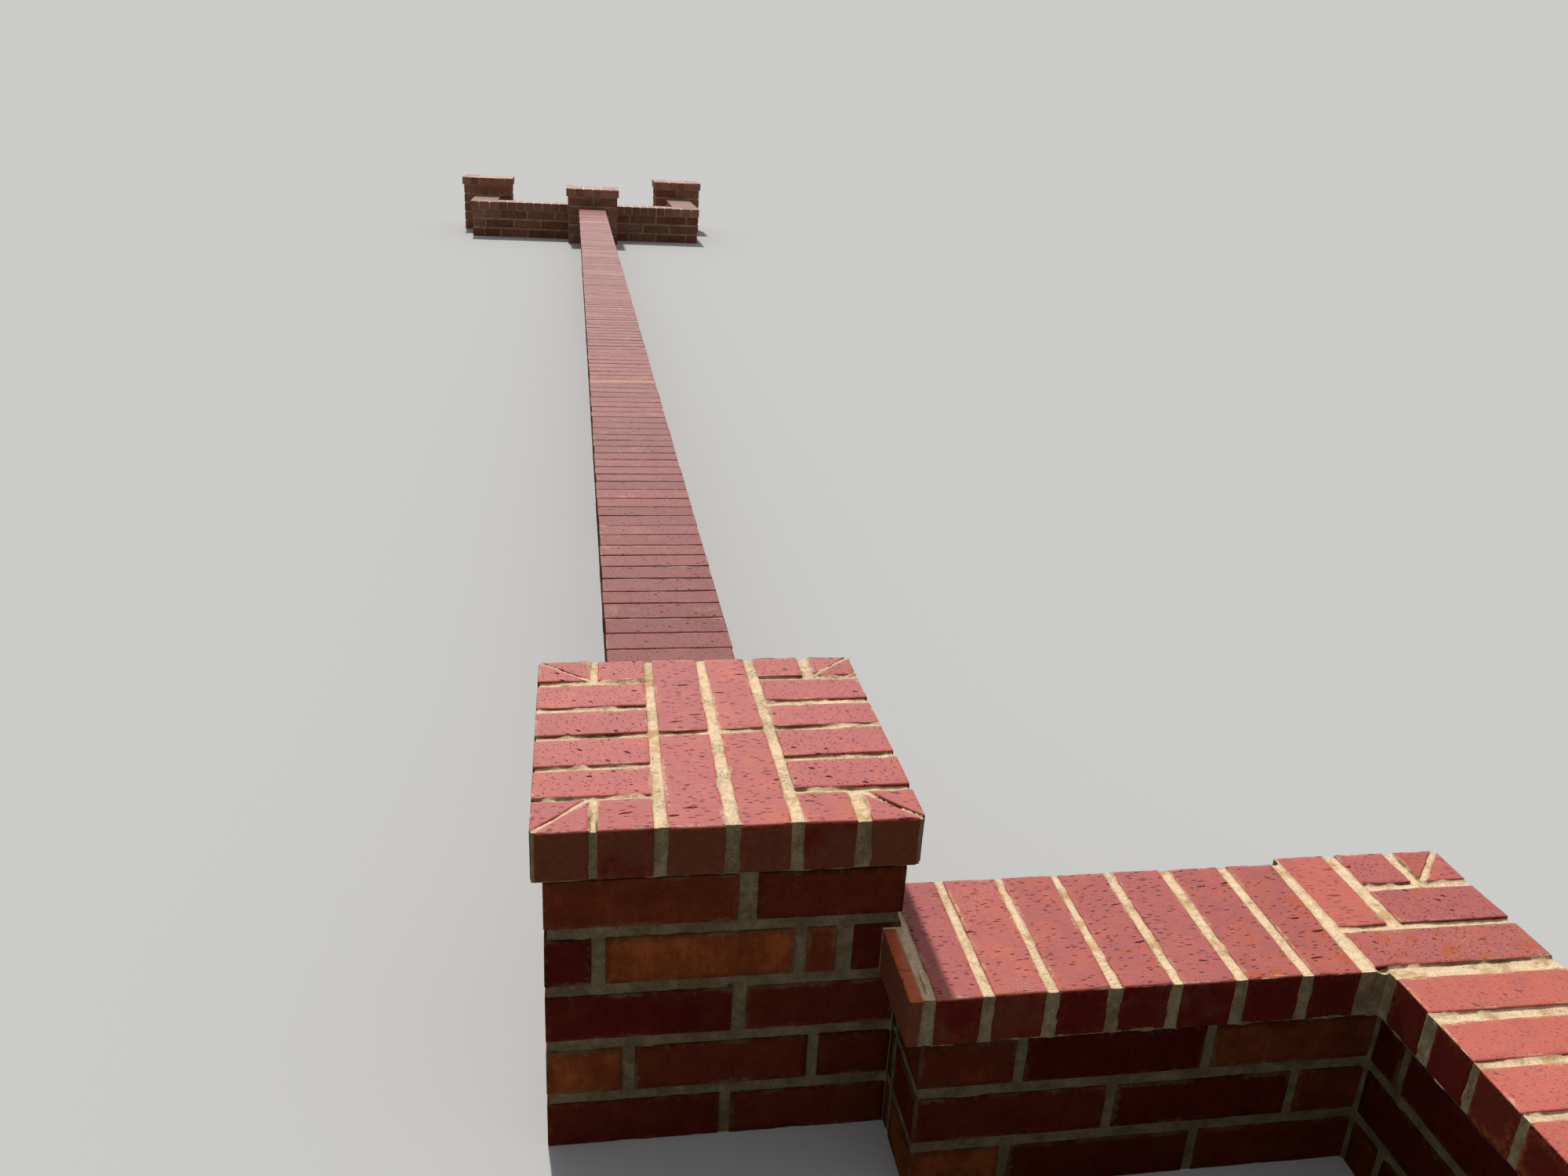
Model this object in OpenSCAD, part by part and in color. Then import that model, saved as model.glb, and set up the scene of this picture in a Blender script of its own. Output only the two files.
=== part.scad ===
// Brick garden wall: a long low wall between two piers, with a walled planting bed at each end.
// The near bed has one wing, on the lawn side, and the far bed has one on either side of its pier.
// The wall runs along Y, the lawn side is +X, and the ground is Z = 0.

/* [Bricks and joints] */
// Length of a whole brick, which sets the width of every coping
brick_l = 245; // [215:1:280]
// Width of a brick end as the copings and caps show it
brick_w = 70; // [55:1:85]
// Height of a brick laid flat: one course, one coping or one cap
brick_h = 70; // [50:1:85]
// Mortar joint between two courses
bed_joint = 16; // [8:1:20]
// Mortar joint between the bricks of the caps and of the short copings
head_joint = 13; // [8:1:16]
// Thin joint between the bricks of the long coping
main_joint = 7; // [4:1:12]
// Mortar joint on the diagonal of a mitred corner
mitre_joint = 9; // [4:1:14]
// Mortar bed under a cap or a coping
top_bed = 10; // [6:1:16]
// How far the mortar lies back from the faces of the bricks
rake = 4; // [2:1:8]

/* [Piers] */
// Courses in a pier, below its cap
pier_courses = 5; // [4:1:8]
// How far a cap or a coping hangs over the face below it
overhang = 14; // [5:1:20]

/* [Walls] */
// Courses in a wall, below its coping
wall_courses = 3; // [2:1:3]
// Clear length of the long wall, from pier to pier
main_len = 10608; // [3000:1:14000]
// How far the long wall's centre line lies off the centre of its piers
main_shift = -7; // [-60:1:60]
// How far a wing stands out past the face of the pier that it starts from
wing_proud = 130; // [60:1:150]
// Thickness of the cut brick and its joint that close a wing's coping at the pier
closer_t = 25; // [15:1:60]
// How much wider the mitred corner of a coping is than the coping
corner_spread = 15; // [0:1:30]

/* [Near bed] */
// Clear length of the near wing, from its pier to the return wall
near_wing = 602; // [350:1:1200]
// Clear length of the near return wall, from the wing to the end pier
near_return = 952; // [300:1:1300]

/* [Far bed] */
// Clear length of the far wing on the lawn side
lawn_wing = 560; // [350:1:1200]
// Clear length of the far return wall on the lawn side
lawn_return = 952; // [300:1:1300]
// Clear length of the far wing on the path side
path_wing = 668; // [350:1:1200]
// Clear length of the far return wall on the path side
path_return = 439; // [300:1:1300]

/* [Hidden] */

// Levels, worked out from the courses.
course = brick_h + bed_joint;
pier_h = pier_courses * course - bed_joint + top_bed;
wall_h = wall_courses * course - bed_joint + top_bed;

// Plan sizes. A module is a brick end with its joint, and a cap is six brick ends square: half of
// one is a stretcher and half a joint.
module_w = brick_w + head_joint;
stretcher_l = 3 * brick_w + 2 * head_joint;
bat_l = 2 * brick_w + head_joint;
cap_w = 2 * stretcher_l + head_joint;
pier_w = cap_w - 2 * overhang;
coping_w = brick_l;
wall_t = coping_w - 2 * overhang;

// The mitred corner is three brick ends square, with half a joint on its two inner sides.
corner_w = coping_w + corner_spread;
corner_end = (corner_w - 5 / 2 * head_joint) / 3;
corner_pitch = corner_end + head_joint;

// In the frame of a bed, its first pier stands at the origin, the wing runs along +X from that
// pier, and the return wall runs along -Y from the wing to the end pier.
wing_x = pier_w / 2;
wing_y = -pier_w / 2 - wing_proud;
function return_x(wing_len) = wing_x + wing_len + overhang;
function end_pier_x(wing_len) = return_x(wing_len) + wall_t / 2;
function end_pier_y(return_len) = wing_y - overhang - return_len - pier_w / 2;

// Where the first pier of each bed stands before the whole is centred.
far_y = pier_w + main_len;

// The box around the whole wall, which puts the origin at its middle on the ground.
low_x = -end_pier_x(path_wing) - cap_w / 2;
high_x = max(end_pier_x(near_wing), end_pier_x(lawn_wing)) + cap_w / 2;
low_y = end_pier_y(near_return) - cap_w / 2;
high_y = far_y - min(end_pier_y(lawn_return), end_pier_y(path_return)) + cap_w / 2;
centre_x = (low_x + high_x) / 2;
centre_y = (low_y + high_y) / 2;

module brickwork() {
  color("#7d3b30") children();
}

module topwork() {
  color("#b96a66") children();
}

module in_near_bed() {
  translate([-centre_x, -centre_y, 0]) children();
}

module in_lawn_bed() {
  translate([-centre_x, far_y - centre_y, 0]) mirror([0, 1, 0]) children();
}

module in_path_bed() {
  translate([-centre_x, far_y - centre_y, 0]) rotate([0, 0, 180]) children();
}

// A box on its plan's centre.
module block(width, depth, height) {
  translate([-width / 2, -depth / 2, 0]) cube([width, depth, height]);
}

// Courses of a wall that runs along +X from the origin: the beds lie back from its two long faces,
// and from its end too where that shows.
module wall_brickwork(length, end_rake = 0) {
  translate([0, rake, 0]) cube([length - end_rake, wall_t - 2 * rake, wall_h]);
  for (level = [0 : wall_courses - 1])
    translate([0, 0, level * course]) cube([length, wall_t, brick_h]);
}

// A pier's courses, centred on the origin, with raked beds and the bed that its cap sits in.
module pier() {
  brickwork() {
    block(pier_w - 2 * rake, pier_w - 2 * rake, pier_h);
    for (level = [0 : pier_courses - 1])
      translate([0, 0, level * course]) block(pier_w, pier_w, brick_h);
  }
}

// Half of a square brick end, cut on the diagonal for a mitre. Its foot lies on the X axis.
module mitred_half(side) {
  cut = mitre_joint / sqrt(2);
  linear_extrude(brick_h) polygon([[cut, 0], [side, 0], [side, side - cut]]);
}

// A square brick end split by a mitre that runs out to its far corner.
module mitred_end(side) {
  mitred_half(side);
  mirror([1, -1, 0]) mitred_half(side);
}

// The bricks in one quarter of a cap, from its middle to the corner in +X +Y: a stretcher along Y,
// two bats along X beside it, and past them a brick end next to the mitre.
module cap_quarter() {
  translate([head_joint / 2, head_joint / 2, 0]) {
    cube([brick_w, stretcher_l, brick_h]);
    for (row = [0, 1])
      translate([module_w, row * module_w, 0]) cube([bat_l, brick_w, brick_h]);
    translate([module_w, 2 * module_w, 0]) cube([brick_w, brick_w, brick_h]);
    translate([2 * module_w, 2 * module_w, 0]) mitred_end(brick_w);
  }
}

// The one course of bricks that caps a pier, on mortar that lies back from their faces.
module pier_cap() {
  topwork() translate([0, 0, pier_h]) {
    block(cap_w - 2 * rake, cap_w - 2 * rake, brick_h - rake);
    for (side_x = [0, 1], side_y = [0, 1])
      mirror([side_x, 0, 0]) mirror([0, side_y, 0]) cap_quarter();
  }
}

module at_end_pier(wing_len, return_len) {
  translate([end_pier_x(wing_len), end_pier_y(return_len), 0]) children();
}

// Bricks laid side by side across a coping that runs along +X from the origin. They share out its
// length, with half a joint at either end, and their mortar lies back from the faces that show.
module coping_bricks(length, joint) {
  count = max(1, round(length / (brick_w + joint)));
  pitch = length / count;
  translate([0, rake, 0]) cube([length, coping_w - 2 * rake, brick_h - rake]);
  for (i = [0 : count - 1])
    translate([i * pitch + joint / 2, 0, 0]) cube([pitch - joint, coping_w, brick_h]);
}

// The same, along +Y from the origin and on its +X side.
module coping_bricks_y(length, joint) {
  translate([coping_w, 0, 0]) rotate([0, 0, 90]) coping_bricks(length, joint);
}

// The wall under a wing's coping. It runs on past the return wall's inner face to the outer corner.
module wing_wall(wing_len) {
  brickwork() translate([wing_x, wing_y, 0]) wall_brickwork(wing_len + overhang + wall_t, rake);
}

// The wall under a return's coping, from the end pier to the wing's inner face.
module return_wall(wing_len, return_len) {
  brickwork() translate([return_x(wing_len) + wall_t, wing_y - overhang - return_len, 0])
    rotate([0, 0, 90]) wall_brickwork(return_len + overhang);
}

// The straight coping of a wing, from the pier to the mitred corner.
module wing_coping(wing_len) {
  topwork() translate([wing_x, wing_y - overhang, wall_h])
    coping_bricks(wing_len - corner_spread, head_joint);
}

// The mitred corner, where the two copings meet: its bricks step round like crossed logs, each
// one end longer than the last, out to the brick end that is split by the mitre.
module corner_coping(wing_len) {
  topwork() translate([wing_x + wing_len - corner_spread, wing_y - overhang, wall_h]) {
    cube([corner_w - rake, corner_w - rake, brick_h - rake]);
    translate([head_joint / 2, head_joint / 2, 0]) {
      cube([2 * corner_pitch + corner_end, corner_end, brick_h]);
      translate([0, corner_pitch, 0]) cube([corner_end, corner_pitch + corner_end, brick_h]);
      translate([corner_pitch, corner_pitch, 0])
        cube([corner_pitch + corner_end, corner_end, brick_h]);
      translate([corner_pitch, 2 * corner_pitch, 0]) cube([corner_end, corner_end, brick_h]);
      translate([2 * corner_pitch, 2 * corner_pitch, 0]) mitred_end(corner_end);
    }
  }
}

// The straight coping of a return wall, from the end pier to the corner.
module return_coping(wing_len, return_len) {
  topwork() translate([wing_x + wing_len, wing_y - overhang - return_len, wall_h])
    coping_bricks_y(return_len, head_joint);
}

// The thin cut brick, with its joint, that closes the wing's coping in front of the pier's face.
module closer_brick() {
  topwork() translate([wing_x - closer_t, wing_y - overhang, wall_h])
    cube([closer_t, wing_proud + overhang, brick_h]);
}

// The long wall, centred on the piers apart from its small shift.
module main_wall() {
  brickwork() translate([main_shift + wall_t / 2, pier_w / 2, 0])
    rotate([0, 0, 90]) wall_brickwork(main_len);
}

module main_coping() {
  topwork() translate([main_shift - coping_w / 2, pier_w / 2, wall_h])
    coping_bricks_y(main_len, main_joint);
}

in_near_bed() pier();  // near_pier
in_near_bed() pier_cap();  // near_pier_cap
in_lawn_bed() pier();  // far_pier
in_lawn_bed() pier_cap();  // far_pier_cap
in_near_bed() at_end_pier(near_wing, near_return) pier();  // near_end_pier
in_near_bed() at_end_pier(near_wing, near_return) pier_cap();  // near_end_pier_cap
in_lawn_bed() at_end_pier(lawn_wing, lawn_return) pier();  // lawn_end_pier
in_lawn_bed() at_end_pier(lawn_wing, lawn_return) pier_cap();  // lawn_end_pier_cap
in_path_bed() at_end_pier(path_wing, path_return) pier();  // path_end_pier
in_path_bed() at_end_pier(path_wing, path_return) pier_cap();  // path_end_pier_cap
in_near_bed() main_wall();
in_near_bed() main_coping();

in_near_bed() wing_wall(near_wing);  // near_wing_wall
in_near_bed() wing_coping(near_wing);  // near_wing_coping
in_near_bed() corner_coping(near_wing);  // near_corner_coping
in_near_bed() return_wall(near_wing, near_return);  // near_return_wall
in_near_bed() return_coping(near_wing, near_return);  // near_return_coping
in_near_bed() closer_brick();  // near_closer_brick

in_lawn_bed() wing_wall(lawn_wing);  // lawn_wing_wall
in_lawn_bed() wing_coping(lawn_wing);  // lawn_wing_coping
in_lawn_bed() corner_coping(lawn_wing);  // lawn_corner_coping
in_lawn_bed() return_wall(lawn_wing, lawn_return);  // lawn_return_wall
in_lawn_bed() return_coping(lawn_wing, lawn_return);  // lawn_return_coping
in_lawn_bed() closer_brick();  // lawn_closer_brick

in_path_bed() wing_wall(path_wing);  // path_wing_wall
in_path_bed() wing_coping(path_wing);  // path_wing_coping
in_path_bed() corner_coping(path_wing);  // path_corner_coping
in_path_bed() return_wall(path_wing, path_return);  // path_return_wall
in_path_bed() return_coping(path_wing, path_return);  // path_return_coping
in_path_bed() closer_brick();  // path_closer_brick
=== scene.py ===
"""Brick garden wall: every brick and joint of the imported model, laid, worn and coloured.

The wall runs along +Y between two capped piers, with a walled bed at each end. Each node of the
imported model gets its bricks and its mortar, set out inside that node's own box, in metres.
"""

from __future__ import annotations

import logging
import math
from dataclasses import dataclass, field
from enum import Enum
from itertools import product
from typing import NamedTuple

import bpy
import numpy as np
from mathutils import Matrix, Vector

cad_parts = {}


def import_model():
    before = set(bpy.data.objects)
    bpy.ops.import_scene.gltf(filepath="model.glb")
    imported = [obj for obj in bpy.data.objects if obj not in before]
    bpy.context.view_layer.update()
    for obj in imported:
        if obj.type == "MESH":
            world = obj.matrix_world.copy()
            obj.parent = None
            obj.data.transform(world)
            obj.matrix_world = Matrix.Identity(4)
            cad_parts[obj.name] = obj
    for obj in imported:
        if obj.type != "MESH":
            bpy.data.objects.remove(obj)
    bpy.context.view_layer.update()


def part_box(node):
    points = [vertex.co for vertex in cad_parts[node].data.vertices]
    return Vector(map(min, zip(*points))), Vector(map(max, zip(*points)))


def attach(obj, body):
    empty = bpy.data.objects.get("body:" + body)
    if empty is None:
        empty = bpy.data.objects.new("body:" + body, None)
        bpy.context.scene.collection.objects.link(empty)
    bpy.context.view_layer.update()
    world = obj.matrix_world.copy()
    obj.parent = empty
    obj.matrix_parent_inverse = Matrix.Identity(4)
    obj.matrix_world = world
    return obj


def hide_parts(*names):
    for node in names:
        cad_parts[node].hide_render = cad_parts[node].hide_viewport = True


LOG = logging.getLogger("brick_garden_wall")
MM = 0.001
BODY = "root"

# The seed of the first piece's random numbers; each later piece has the next one.
FIRST_SEED = 20

# What hashes a lattice corner: factors for its place and the seed, and two rounds of mixing.
PLACE_FACTORS = (73856093, 19349663, 83492791)
SEED_FACTOR = 40503077
ROUNDS = ((15, 2246822519), (13, 3266489917))
LAST_SHIFT = 16
LOW_32_BITS = 0xFFFFFFFF

Interval = tuple[float, float]
Triple = tuple[float, float, float]
Corners = list[tuple[float, float]]
Flips = tuple[bool, bool]


@dataclass(frozen=True)
class Bond:
    """Sizes that the bricklayer works to, in metres."""

    length: float = 0.245
    width: float = 0.102
    end: float = 0.070
    height: float = 0.070
    bed_joint: float = 0.016
    head_joint: float = 0.013
    main_joint: float = 0.0055
    mitre_joint: float = 0.006
    wide_mitre: float = 0.009
    arris: float = 0.0015
    clearance: float = 0.0010

    @property
    def course(self) -> float:
        """Height from one course to the next."""
        return self.height + self.bed_joint

    @property
    def module(self) -> float:
        """A brick end with its joint."""
        return self.end + self.head_joint

    @property
    def pitch(self) -> float:
        """A brick's length with its joint."""
        return self.length + self.head_joint


BOND = Bond()


class DragMarks(NamedTuple):
    """Marks on a brick's top: their mean angle and its spread in radians, and their stretch."""

    angle: float
    sway: float
    stretch: float


@dataclass(frozen=True)
class Wear:
    """How a brick strays from a clean block; lengths in metres.

    arris is the range of an arris's radius, as shares of the usual one, and facet the share of it
    where the rounding has a line. swell is the mean and the swing in millimetres by which noise
    sets the faces back, and tilt the most that a top leans along X or Y, in millimetres. Chips
    begin within chip_reach of an arris, and are as deep as noise is high above chip_from or
    nick_from. drag_shift keeps two bricks' marks from being alike.
    """

    arris: Interval = (0.8, 1.5)
    facet: float = 0.6
    swell: Interval = (0.3, 0.3)
    tilt: float = 0.5
    chip_reach: float = 7 * MM
    chip_depth: float = 2.6 * MM
    chip_from: float = 0.50
    nick_depth: float = 0.9 * MM
    nick_from: float = 0.25
    drag_along_y: DragMarks = DragMarks(0.03, 0.10, 4.4)
    drag_along_x: DragMarks = DragMarks(-0.45, 0.25, 2.0)
    drag_shift: float = 9.0


WEAR = Wear()


@dataclass(frozen=True)
class Pointing:
    """How mortar lies in the joints and over the bricks; lengths in metres.

    A brick counts where it comes within top_reach or side_reach of a face. From its edge inward
    the mortar rises over a brink from the joint's level to the brick's. A joint lies back by the
    recess times uneven, a mean and a swing. On upright faces that is also times struck, the share
    over a brick and what is added under one. A flush strip makes up a share of it, fill, and has
    soft edges. Where noise is above the block's tidy, mortar climbs and covers the joint within a
    lap of a brick. Over a brick it stands out by the smear, with film as the noise's factor,
    shift and least value, and falls away inward. Holes have a rim in radii. grain is how high
    sand and lumps stand, in millimetres, and skin the least depth under the face.
    """

    top_reach: float = 10 * MM
    side_reach: float = 12 * MM
    brink: float = 0.8 * MM
    uneven: Interval = (0.9, 0.35)
    struck: Interval = (0.75, 0.6)
    fill: float = 0.65
    strip_edge: float = 2 * MM
    climb: float = 3.0
    lap: float = 5 * MM
    film: Triple = (1.6, 0.2, -0.5)
    inward: float = 0.6
    hole_depth: float = 8 * MM
    hole_rim: float = 1.5
    deepest: float = 7 * MM
    grain: Interval = (0.6, 0.45)
    skin: float = 0.1 * MM


POINTING = Pointing()


@dataclass(frozen=True)
class Strays:
    """The most by which bricks stray from the set-out, in millimetres.

    joint is the range of a joint's width, as shares of the mean one.
    """

    front_split: float = 18.0
    side_split: float = 15.0
    cap_edge: float = 2.5
    coping_end: float = 2.5
    known_coping: float = 2.0
    joint: Interval = (0.75, 1.25)


STRAYS = Strays()

# A wall brick's shade is drawn and raised to this power, so that most of them are dark.
DARKENING = 2.0


class Clay(Enum):
    """Which clay a brick is made of, and so which finish it gets."""

    COPING = "coping_brick"
    WALL = "wall_brick"


class Detail(Enum):
    """Grid spacing of a brick, and of mortar at a joint and away from one, in metres."""

    CLOSE = (0.005, 0.0028, 0.0056)
    MIDDLE = (0.0095, 0.004, 0.008)
    COARSE = (0.020, 0.006, 0.018)
    FAR = (1.0, 0.030, 0.030)

    def __init__(self, brick: float, joint: float, plain: float) -> None:
        """Keep the three spacings by name."""
        self.brick, self.joint, self.plain = brick, joint, plain


class Face(Enum):
    """The faces of a block: the axis that each one looks along, and -1 for its low side or 1."""

    LEFT = (0, -1)
    RIGHT = (0, 1)
    FRONT = (1, -1)
    BACK = (1, 1)
    TOP = (2, 1)

    def __init__(self, axis: int, side: int) -> None:
        """Keep the axis and the side by name."""
        self.axis, self.side = axis, side


ENDS = (Face.FRONT, Face.BACK)
SIDES = (Face.LEFT, Face.RIGHT)


@dataclass
class Brick:
    """A brick as laid: its plan's four corners, anticlockwise from low X and low Y, and its levels.

    mood is three numbers, mostly from 0 to 1, that set its shade, its hue and its patches.
    """

    plan: np.ndarray
    bottom: float
    top: float
    mood: Triple

    @property
    def half(self) -> np.ndarray:
        """Half the brick's size along X, Y and Z, from the mean of its opposite sides."""
        sides = np.linalg.norm(np.roll(self.plan, -1, axis=0) - self.plan, axis=1)
        return np.array(
            [(sides[0] + sides[2]) / 4, (sides[1] + sides[3]) / 4, (self.top - self.bottom) / 2]
        )


def rectangle(s: Interval, t: Interval) -> Corners:
    """A rectangle's corners, anticlockwise from low s and t."""
    return [(s[0], t[0]), (s[1], t[0]), (s[1], t[1]), (s[0], t[1])]


class Noise(Enum):
    """The noises that shape bricks and mortar: the edge of a lattice cell in metres, and a seed."""

    CHIPS = (17 * MM, 1)
    NICKS = (6 * MM, 2)
    SWELL = (45 * MM, 5)
    GRAINS = (4 * MM, 11)
    LUMPS = (11 * MM, 12)
    SPREAD = (21 * MM, 13)
    BROAD = (60 * MM, 14)

    def at(self, points: np.ndarray) -> np.ndarray:
        """Smooth noise: each corner of a cubic lattice has a hashed value, blended by 3t^2 - 2t^3.

        Args:
            points: N points, in metres.

        Returns:
            N numbers from -1 to 1.
        """
        size, seed = self.value
        cell = points / size
        low = np.floor(cell).astype(np.int64)
        blend = cell - low
        blend = blend * blend * (3 - 2 * blend)
        total = np.zeros(len(points))
        for corner in product((0, 1), repeat=3):
            mixed = np.bitwise_xor.reduce((low + corner) * PLACE_FACTORS, axis=1)
            mixed ^= seed * SEED_FACTOR
            for shift, factor in ROUNDS:
                mixed = (mixed ^ (mixed >> shift)) * factor & LOW_32_BITS
            weight = np.prod(np.where(corner, blend, 1 - blend), axis=1)
            total += weight * ((mixed ^ (mixed >> LAST_SHIFT)) / (LOW_32_BITS >> 1) - 1)
        return total


def shell(lines: list[np.ndarray]) -> tuple[np.ndarray, np.ndarray]:
    """The closed shell of a box: the outer points of its lattice and the quads between them.

    Args:
        lines: The lattice's positions along X, Y and Z.

    Returns:
        The points, N by 3, and the outward quads, M by 4.
    """
    index = np.arange(math.prod(len(line) for line in lines))
    index = index.reshape([len(line) for line in lines])
    pairs = (
        (index[:, :, -1], index[:, :, 0]),
        (index[-1], index[0]),
        (index[:, 0], index[:, -1]),
    )
    patches = []
    for pair in pairs:
        for grid, turn in zip(pair, (1, -1)):
            corners = [grid[:-1, :-1], grid[1:, :-1], grid[1:, 1:], grid[:-1, 1:]]
            patches.append(np.stack(corners, axis=-1).reshape(-1, 4)[:, ::turn])
    used, quads = np.unique(np.concatenate(patches), return_inverse=True)
    points = np.stack(np.meshgrid(*lines, indexing="ij"), axis=-1).reshape(-1, 3)
    return points[used], quads.reshape(-1, 4)


def inside_distance(points: np.ndarray, outlines: list[np.ndarray]) -> np.ndarray:
    """How deep each point lies in the convex outline that holds it, negative between outlines.

    For each outline it is the least distance to an edge's line, and the largest of those counts.

    Args:
        points: N points of a plane.
        outlines: Anticlockwise corners of each outline, K by 2.

    Returns:
        N distances in metres.
    """
    best = np.full(len(points), -1.0)
    for outline in outlines:
        edge = np.roll(outline, -1, axis=0) - outline
        inward = np.stack([-edge[:, 1], edge[:, 0]], axis=1)
        inward /= np.linalg.norm(edge, axis=1, keepdims=True)
        depth = (points[:, None, :] - outline[None]) * inward[None]
        best = np.maximum(best, depth.sum(axis=2).min(axis=1))
    return best


def graded_lines(low: float, high: float, edges: np.ndarray, detail: Detail) -> np.ndarray:
    """Lines from low to high, close together near an edge and wider apart elsewhere.

    Args:
        low: First line.
        high: Last line.
        edges: Where joints begin or end.
        detail: Gives the two spacings.

    Returns:
        The lines' positions.
    """
    reach = 7 * MM
    fine = np.arange(low, high, detail.joint)
    if len(edges) and detail is not Detail.FAR:
        near = np.abs(fine[:, None] - edges[None]).min(axis=1) < reach
        step = max(1, round(detail.plain / detail.joint))
        fine = fine[near | (np.arange(len(fine)) % step == 0)]
    return np.append(fine[high - fine > detail.joint / 2], high)


def mesh_object(
    name: str,
    points: np.ndarray,
    quads: np.ndarray,
    finish: bpy.types.Material,
    smooth: bool,
    attributes: dict[str, np.ndarray] | None = None,
) -> bpy.types.Object:
    """A new object at the origin from points and quads.

    Args:
        name: The object's name.
        points: N by 3, in the row frame.
        quads: M by 4 indices.
        finish: Its material.
        smooth: Whether its faces are shaded as one surface.
        attributes: Vectors to keep on the points.

    Returns:
        The object, linked to the scene.
    """
    mesh = bpy.data.meshes.new(name)
    mesh.from_pydata(points.tolist(), [], quads.tolist())
    mesh.polygons.foreach_set("use_smooth", np.full(len(quads), smooth))
    for key, values in (attributes or {}).items():
        layer = mesh.attributes.new(key, "FLOAT_VECTOR", "POINT")
        layer.data.foreach_set("vector", values.astype(np.float32).ravel())
    mesh.materials.append(finish)
    mesh.update()
    made = bpy.data.objects.new(name, mesh)
    bpy.context.scene.collection.objects.link(made)
    return made


@dataclass
class Setout:
    """The ground plan of one node: its box, and which way its own axes run in the row frame.

    s runs along X and t along Y, from the box's low corner, or from its high one when flipped.
    """

    low: np.ndarray
    high: np.ndarray
    flip_x: bool
    flip_y: bool

    @classmethod
    def of(cls, node: str, flip_x: bool, flip_y: bool) -> Setout:
        """The set-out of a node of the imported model."""
        low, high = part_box(node)
        return cls(np.array(low), np.array(high), flip_x, flip_y)

    @property
    def size(self) -> np.ndarray:
        """The box's size."""
        return self.high - self.low

    def edge(self, face: Face) -> float:
        """Where a face's plane lies along its axis."""
        return (self.high if face.side > 0 else self.low)[face.axis]

    def plan(self, corners: Corners) -> np.ndarray:
        """Four corners given in s and t, anticlockwise from low s and t, as a plan in X and Y."""
        points = np.array(corners, float)
        if self.flip_x:
            points[:, 0] = self.size[0] - points[:, 0]
            points = points[[1, 0, 3, 2]]
        if self.flip_y:
            points[:, 1] = self.size[1] - points[:, 1]
            points = points[[3, 2, 1, 0]]
        return points + self.low[:2]


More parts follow.
